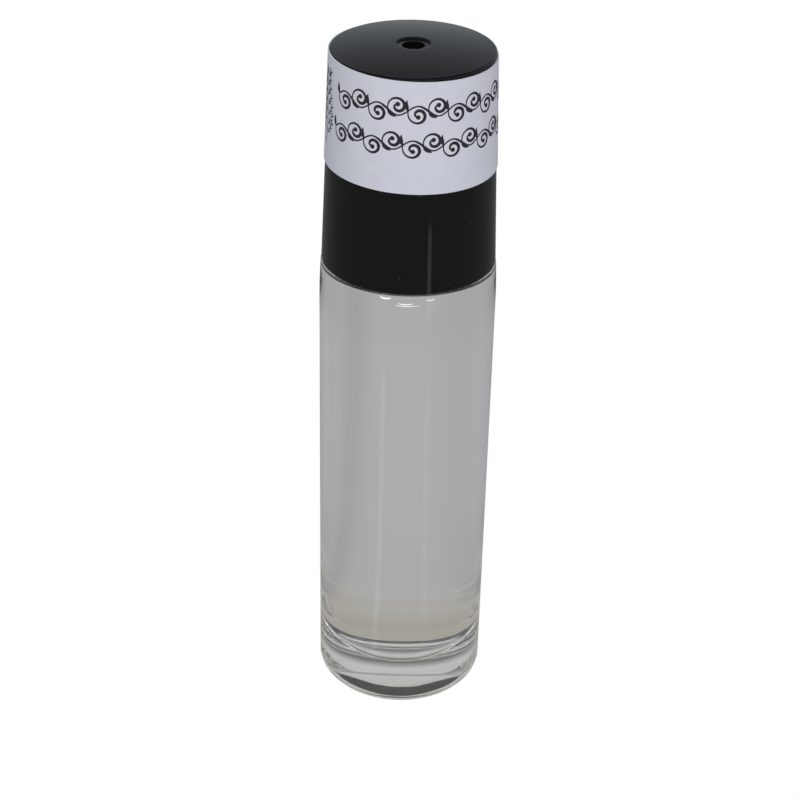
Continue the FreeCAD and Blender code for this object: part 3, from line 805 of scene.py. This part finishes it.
def make_label(paper):
    columns, rows = 220, 36
    half = LABEL_LENGTH / 2
    grid = []
    for column in range(columns + 1):
        for row in range(rows + 1):
            grid.append((-half + LABEL_LENGTH * column / columns, LABEL_HEIGHT * row / rows))
    inner = [label_point(along, up, 0.0) for along, up in grid]
    outer = [label_point(along, up, LABEL_THICKNESS - LABEL_GLUE) for along, up in grid]
    count = len(grid)
    tall = rows + 1
    faces = []
    for column in range(columns):
        for row in range(rows):
            near = column * tall + row
            corners = (near, near + 1, near + tall + 1, near + tall)
            faces.append(corners)
            faces.append(tuple(count + corner for corner in corners))
    for column in range(columns):
        for edge in (column * tall, column * tall + rows):
            faces.append((edge, edge + tall, count + edge + tall, count + edge))
    for row in range(rows):
        for edge in (row, columns * tall + row):
            faces.append((edge, edge + 1, count + edge + 1, count + edge))
    label = mesh_piece("paper_label", inner + outer, faces)
    place(label, "cap", [paper], "cap_label")


class Ink:
    """Strokes of print on the label, each a thin closed plate."""

    HAIRLINE = 0.03
    SECTION = ((1, 0), (-1, 0), (-1, 1), (1, 1))

    def __init__(self):
        self.vertices = []
        self.faces = []

    def stroke(self, points, widths):
        self.faces += tube_faces(len(self.vertices), len(points), len(self.SECTION))
        low = LABEL_THICKNESS - LABEL_GLUE - INK_SUNK
        for index, (along, up) in enumerate(points):
            before = Vector(points[max(index - 1, 0)])
            after = Vector(points[min(index + 1, len(points) - 1)])
            way = (after - before).normalized()
            half = widths[index] / 2
            for side, lift in self.SECTION:
                across = along - way.y * half * side
                rise = up + way.x * half * side
                self.vertices.append(label_point(across, rise, low + INK_THICKNESS * lift))

    def curl(self, start, centre, turns, tight, width):
        """A spiral from start in to its centre, with a bud at its end. Positive turns wind left."""
        steps, closing = 34, 0.8
        thin, swell, fullness, bud = 0.45, 0.75, 1.5, 0.85
        out = Vector(start) - Vector(centre)
        first = math.atan2(out.y, out.x)
        points, widths = [], []
        for step in range(steps + 1):
            share = step / steps
            reach = out.length + (tight - out.length) * share**closing
            angle = first + 2 * math.pi * turns * share
            points.append((centre[0] + reach * math.cos(angle), centre[1] + reach * math.sin(angle)))
            widths.append(width * (thin + swell * math.sin(math.pi * share) ** fullness))
        self.stroke(points, widths)
        self.bud(points[-1], width * bud)

    def leaf(self, root, heading, length, width, bend):
        """A leaf that leaves its root on a heading and bends on its way, pointed at both ends."""
        steps, broad_early = 12, 0.75
        spot = Vector(root)
        points, widths = [], []
        for step in range(steps + 1):
            share = step / steps
            points.append(tuple(spot))
            widths.append(self.HAIRLINE + width * math.sin(math.pi * share**broad_early))
            angle = heading + bend * share
            spot = spot + Vector((math.cos(angle), math.sin(angle))) * length / steps
        self.stroke(points, widths)

    def bud(self, centre, radius):
        steps = 10
        points, widths = [], []
        for step in range(steps + 1):
            off = -math.cos(math.pi * step / steps) * radius
            points.append((centre[0] + off, centre[1]))
            widths.append(max(2 * math.sqrt(max(radius * radius - off * off, 0)), self.HAIRLINE))
        self.stroke(points, widths)


def print_vine(ink, start, end, height):
    """A running vine: a waving stem with a curl in each hollow and a leaf at each crossing."""
    wave, sway, hollow = 4.4, 0.55, 0.45
    thin, swell, stretch = 0.17, 0.1, 0.1
    count = round((end - start) / stretch)
    stem = [start + (end - start) * step / count for step in range(count + 1)]
    phase = [2 * math.pi * (along - start) / wave for along in stem]
    points = [(along, height + sway * math.sin(turn)) for along, turn in zip(stem, phase)]
    ink.stroke(points, [thin + swell * max(-math.cos(turn), 0) for turn in phase])
    for bend in range(int((end - start) / wave * 2)):
        side = 1 if bend % 2 == 0 else -1
        root = (start + wave * bend / 2, height)
        centre = (root[0] + wave / 4, height - hollow * side)
        ink.curl(root, centre, turns=1.3 * side, tight=0.22, width=0.3)
        ink.leaf(root, heading=math.pi / 2 * side + 0.5, length=1.25, width=0.42, bend=-0.9 * side)


def print_twig(ink, root, length, side):
    """A twig that arches up on one side of the sprig, with three pairs of leaves."""
    steps, spread, arch, width = 9, 1.0, 0.07, 0.08
    heading = math.pi / 2 - side * spread
    twig = []
    for step in range(steps):
        angle = heading + side * arch * step
        spot = twig[-1] if twig else root
        twig.append((spot[0] + math.cos(angle) * length / steps, spot[1] + math.sin(angle) * length / steps))
    ink.stroke(twig, [width] * len(twig))
    for knot in (2, 5, 8):
        ink.leaf(twig[knot], heading + side * 0.9, length=0.6, width=0.14, bend=-side * 0.6)
        ink.leaf(twig[knot], heading - side * 0.5, length=0.6, width=0.14, bend=side * 0.6)


def print_sprig(ink, foot, top):
    """A fine-lined sprig with arching twigs in pairs, shorter towards its top."""
    steps, bow, width, taper = 24, 0.35, 0.16, 0.09
    pairs, apart, longest, shorter = 7, 3, 2.1, 0.2
    lean = top[0] - foot[0]
    stem = []
    for step in range(steps + 1):
        share = step / steps
        sideways = bow * math.sin(2 * math.pi * share)
        stem.append((foot[0] + lean * share + sideways, foot[1] + (top[1] - foot[1]) * share))
    ink.stroke(stem, [width - taper * step / steps for step in range(steps + 1)])
    for pair in range(pairs):
        for side in (1, -1):
            print_twig(ink, stem[apart + apart * pair], longest - shorter * pair, side)


def make_print(black):
    """The label's ornament: two running vines and a sprig."""
    ink = Ink()
    for start, end, height in VINES:
        print_vine(ink, start, end, height)
    print_sprig(ink, SPRIG_FOOT, SPRIG_TOP)
    printed = mesh_piece("label_print", ink.vertices, ink.faces)
    place(printed, "cap", [black])


def make_camera():
    level_share = math.cos(CAMERA_PITCH)
    forward = Vector(
        (math.sin(CAMERA_YAW) * level_share, math.cos(CAMERA_YAW) * level_share, -math.sin(CAMERA_PITCH))
    )
    right = forward.cross(Vector((0, 0, 1))).normalized()
    up = right.cross(forward)
    upright = Matrix((right, up, -forward)).transposed()
    turned = upright @ Matrix.Rotation(CAMERA_ROLL, 3, "Z")
    data = bpy.data.cameras.new("photo_view")
    data.lens = CAMERA_LENS
    data.sensor_width = CAMERA_SENSOR
    data.clip_start = CAMERA_NEAREST * MM
    camera = bpy.data.objects.new("photo_view", data)
    camera.matrix_world = Matrix.Translation(Vector(CAMERA_PLACE) * MM) @ turned.to_4x4()
    bpy.context.scene.collection.objects.link(camera)
    bpy.context.scene.camera = camera


def mirrored(wiring, ray):
    """One for a ray that gloss sends back, and nothing for one that is let through or scattered."""
    return wiring.maths("MULTIPLY", ray["Is Glossy Ray"], ray["Is Reflection Ray"])


def off_bearing(wiring, at, bearing):
    """How far a place on the floor lies from a bearing, which is counted from the front to the right."""
    found = wiring.maths("ARCTAN2", at["X"], wiring.maths("MULTIPLY", at["Y"], -1.0))
    return wiring.maths("ABSOLUTE", wiring.maths("SUBTRACT", found, bearing))


def painted_light_streak(wiring, at, away, bearing, half_width, begin, end, glow):
    # A painted strip of light on the floor, which gloss shows as a highlight streak.
    off = off_bearing(wiring, at, bearing)
    across = wiring.spread(off, (half_width * STREAK_CORE, half_width), (glow, 0.0))
    rising = wiring.spread(away, (begin, begin + STREAK_RISE))
    falling = wiring.spread(away, (end - STREAK_FALL, end), (1.0, 0.0))
    return wiring.maths("MULTIPLY", wiring.maths("MULTIPLY", across, rising), falling)


def floor_in_glass(wiring, at, away):
    behind = wiring.spread(at["Y"], GLASS_FLOOR_BEHIND, GLASS_FLOOR_LEVELS)
    open_floor = wiring.spread(away, GLASS_FLOOR_OPEN, GLASS_FLOOR_LEVELS)
    # Painted shadow round the bottle's foot.
    painted_shadow = wiring.spread(away, GLASS_FLOOR_PAINTED_SHADOW, GLASS_FLOOR_PAINTED_SHADOW_SHARES)
    level = wiring.maths("MULTIPLY", wiring.maths("MAXIMUM", behind, open_floor), painted_shadow)
    # Painted shade and light in sectors of the floor.
    for sector in PAINTED_SHADE_SECTORS:
        off = off_bearing(wiring, at, sector["bearing"])
        level = wiring.maths("MULTIPLY", level, wiring.spread(off, sector["fade"], (sector["share"], 1.0)))
    return level


def floor_in_gloss(wiring, at, away):
    # Painted pool of light round the bottle, seen only in gloss.
    level = wiring.spread(away, GLOSS_FLOOR_REACH, GLOSS_FLOOR_LEVELS)
    for streak in PAINTED_LIGHT_STREAKS:
        level = wiring.maths("ADD", level, painted_light_streak(wiring, at, away, **streak))
    return level


def pale_floor_finish():
    """White to the camera and clear from below. Glass and gloss each show it in a light of their own."""
    material = bpy.data.materials.new("pale_floor")
    material.use_nodes = True
    nodes = material.node_tree.nodes
    nodes.remove(nodes["Principled BSDF"])
    wiring = Wiring(material.node_tree)
    ray = wiring.add("ShaderNodeLightPath").outputs
    place_mm = millimetre_place(wiring)
    at = wiring.parts(place_mm)
    away = wiring.add("ShaderNodeVectorMath", {0: place_mm}, operation="LENGTH").outputs["Value"]
    in_glass = floor_in_glass(wiring, at, away)
    in_gloss = floor_in_gloss(wiring, at, away)
    shown = wiring.mix(mirrored(wiring, ray), in_glass, in_gloss)
    # Painted caustic: warm light on the floor near the bottle.
    caustic_tint = wiring.blend(wiring.spread(away, FLOOR_CAUSTIC_REACH), FLOOR_PAINTED_CAUSTIC, FLOOR_COOL)
    toned = wiring.add("ShaderNodeEmission", {"Color": caustic_tint, "Strength": shown}).outputs[0]
    white = wiring.add("ShaderNodeEmission", {"Color": WHITE}).outputs[0]
    above = wiring.add("ShaderNodeMixShader", {0: ray["Is Camera Ray"], 1: toned, 2: white}).outputs[0]
    from_below = wiring.add("ShaderNodeNewGeometry").outputs["Backfacing"]
    clear = wiring.add("ShaderNodeBsdfTransparent").outputs[0]
    one_sided = wiring.add("ShaderNodeMixShader", {0: from_below, 1: above, 2: clear}).outputs[0]
    wiring.feed(nodes["Material Output"].inputs["Surface"], one_sided)
    return material


def make_floor():
    half = FLOOR_HALF
    corners = ((-half, -half), (half, -half), (half, half), (-half, half))
    mesh = bpy.data.meshes.new("floor")
    mesh.from_pydata([(x, y, -FLOOR_CLEARANCE * MM) for x, y in corners], [], [(0, 1, 2, 3)])
    mesh.materials.append(pale_floor_finish())
    floor = bpy.data.objects.new("floor", mesh)
    bpy.context.scene.collection.objects.link(floor)


def sky_light(wiring, rise, bands):
    """Adds up bands of light, each between two heights over the horizon."""
    total = 0.0
    for degrees, levels in bands:
        reach = [math.sin(math.radians(height)) for height in degrees]
        total = wiring.maths("ADD", total, wiring.spread(rise, reach, levels))
    return total


def make_surroundings():
    """White to the camera.

    Glass shows a dark band between a pale horizon and a ceiling that pales upwards. Gloss shows a sky that
    fades upwards to a lamp overhead.
    """
    world = bpy.data.worlds.new("studio")
    bpy.context.scene.world = world
    world.use_nodes = True
    wiring = Wiring(world.node_tree)
    sight = wiring.add("ShaderNodeTexCoord").outputs["Generated"]
    rise = wiring.parts(sight)["Z"]
    ray = wiring.add("ShaderNodeLightPath").outputs
    glossy = mirrored(wiring, ray)
    level = wiring.mix(glossy, sky_light(wiring, rise, GLASS_SKY), sky_light(wiring, rise, GLOSS_SKY))
    background = world.node_tree.nodes["Background"]
    wiring.feed(background.inputs["Strength"], wiring.mix(ray["Is Camera Ray"], level, 1.0))
    wiring.feed(background.inputs["Color"], wiring.blend(glossy, WHITE, GLOSS_SKY_COLOUR))


def make_soft_box():
    """A large soft box that lights matt surfaces and doesn't show in gloss or glass."""
    data = bpy.data.lights.new("front_soft_box", "AREA")
    data.size = SOFT_BOX_WIDTH
    data.energy = SOFT_BOX_POWER
    lamp = bpy.data.objects.new("front_soft_box", data)
    towards = Vector(SOFT_BOX_TARGET) - Vector(SOFT_BOX_PLACE)
    lamp.location = Vector(SOFT_BOX_PLACE) * MM
    lamp.rotation_euler = towards.to_track_quat("-Z", "Y").to_euler()
    lamp.visible_camera = False
    lamp.visible_glossy = False
    lamp.visible_transmission = False
    bpy.context.scene.collection.objects.link(lamp)


def dress_inner_pieces(black_plastic):
    """Finishes for the CAD pieces inside the cap and neck."""
    natural = moulded_plastic(
        "natural_polyethylene", (0.82, 0.82, 0.78), grain=0.3, sink=0.5, roughness=0.42,
        Subsurface_Weight=0.25, Subsurface_Radius=(0.0012, 0.0011, 0.0009), Subsurface_Scale=1.0,
    )
    finishes = {
        "roller_housing": natural,
        "roller_ball": polished_steel(),
        "seal_disc": moulded_plastic("seal_foam", (0.8, 0.8, 0.78), grain=0.9, sink=0.3, roughness=0.7),
        "cap_inner": black_plastic,
    }
    for node, finish in finishes.items():
        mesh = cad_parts[node].data
        mesh.materials.clear()
        mesh.materials.append(finish)


def main():
    bpy.context.scene.view_settings.view_transform = "Standard"
    make_camera()
    make_floor()
    make_surroundings()
    make_soft_box()
    make_glass()
    make_bubbles()
    make_oil()
    make_cap_shell(gloss_black())
    black_plastic = moulded_plastic(
        "black_polypropylene", (0.02, 0.02, 0.021), grain=0.35, sink=0.4, roughness=0.38
    )
    make_cap_thread(black_plastic)
    make_label(label_paper())
    make_print(label_ink())
    dress_inner_pieces(black_plastic)


main()
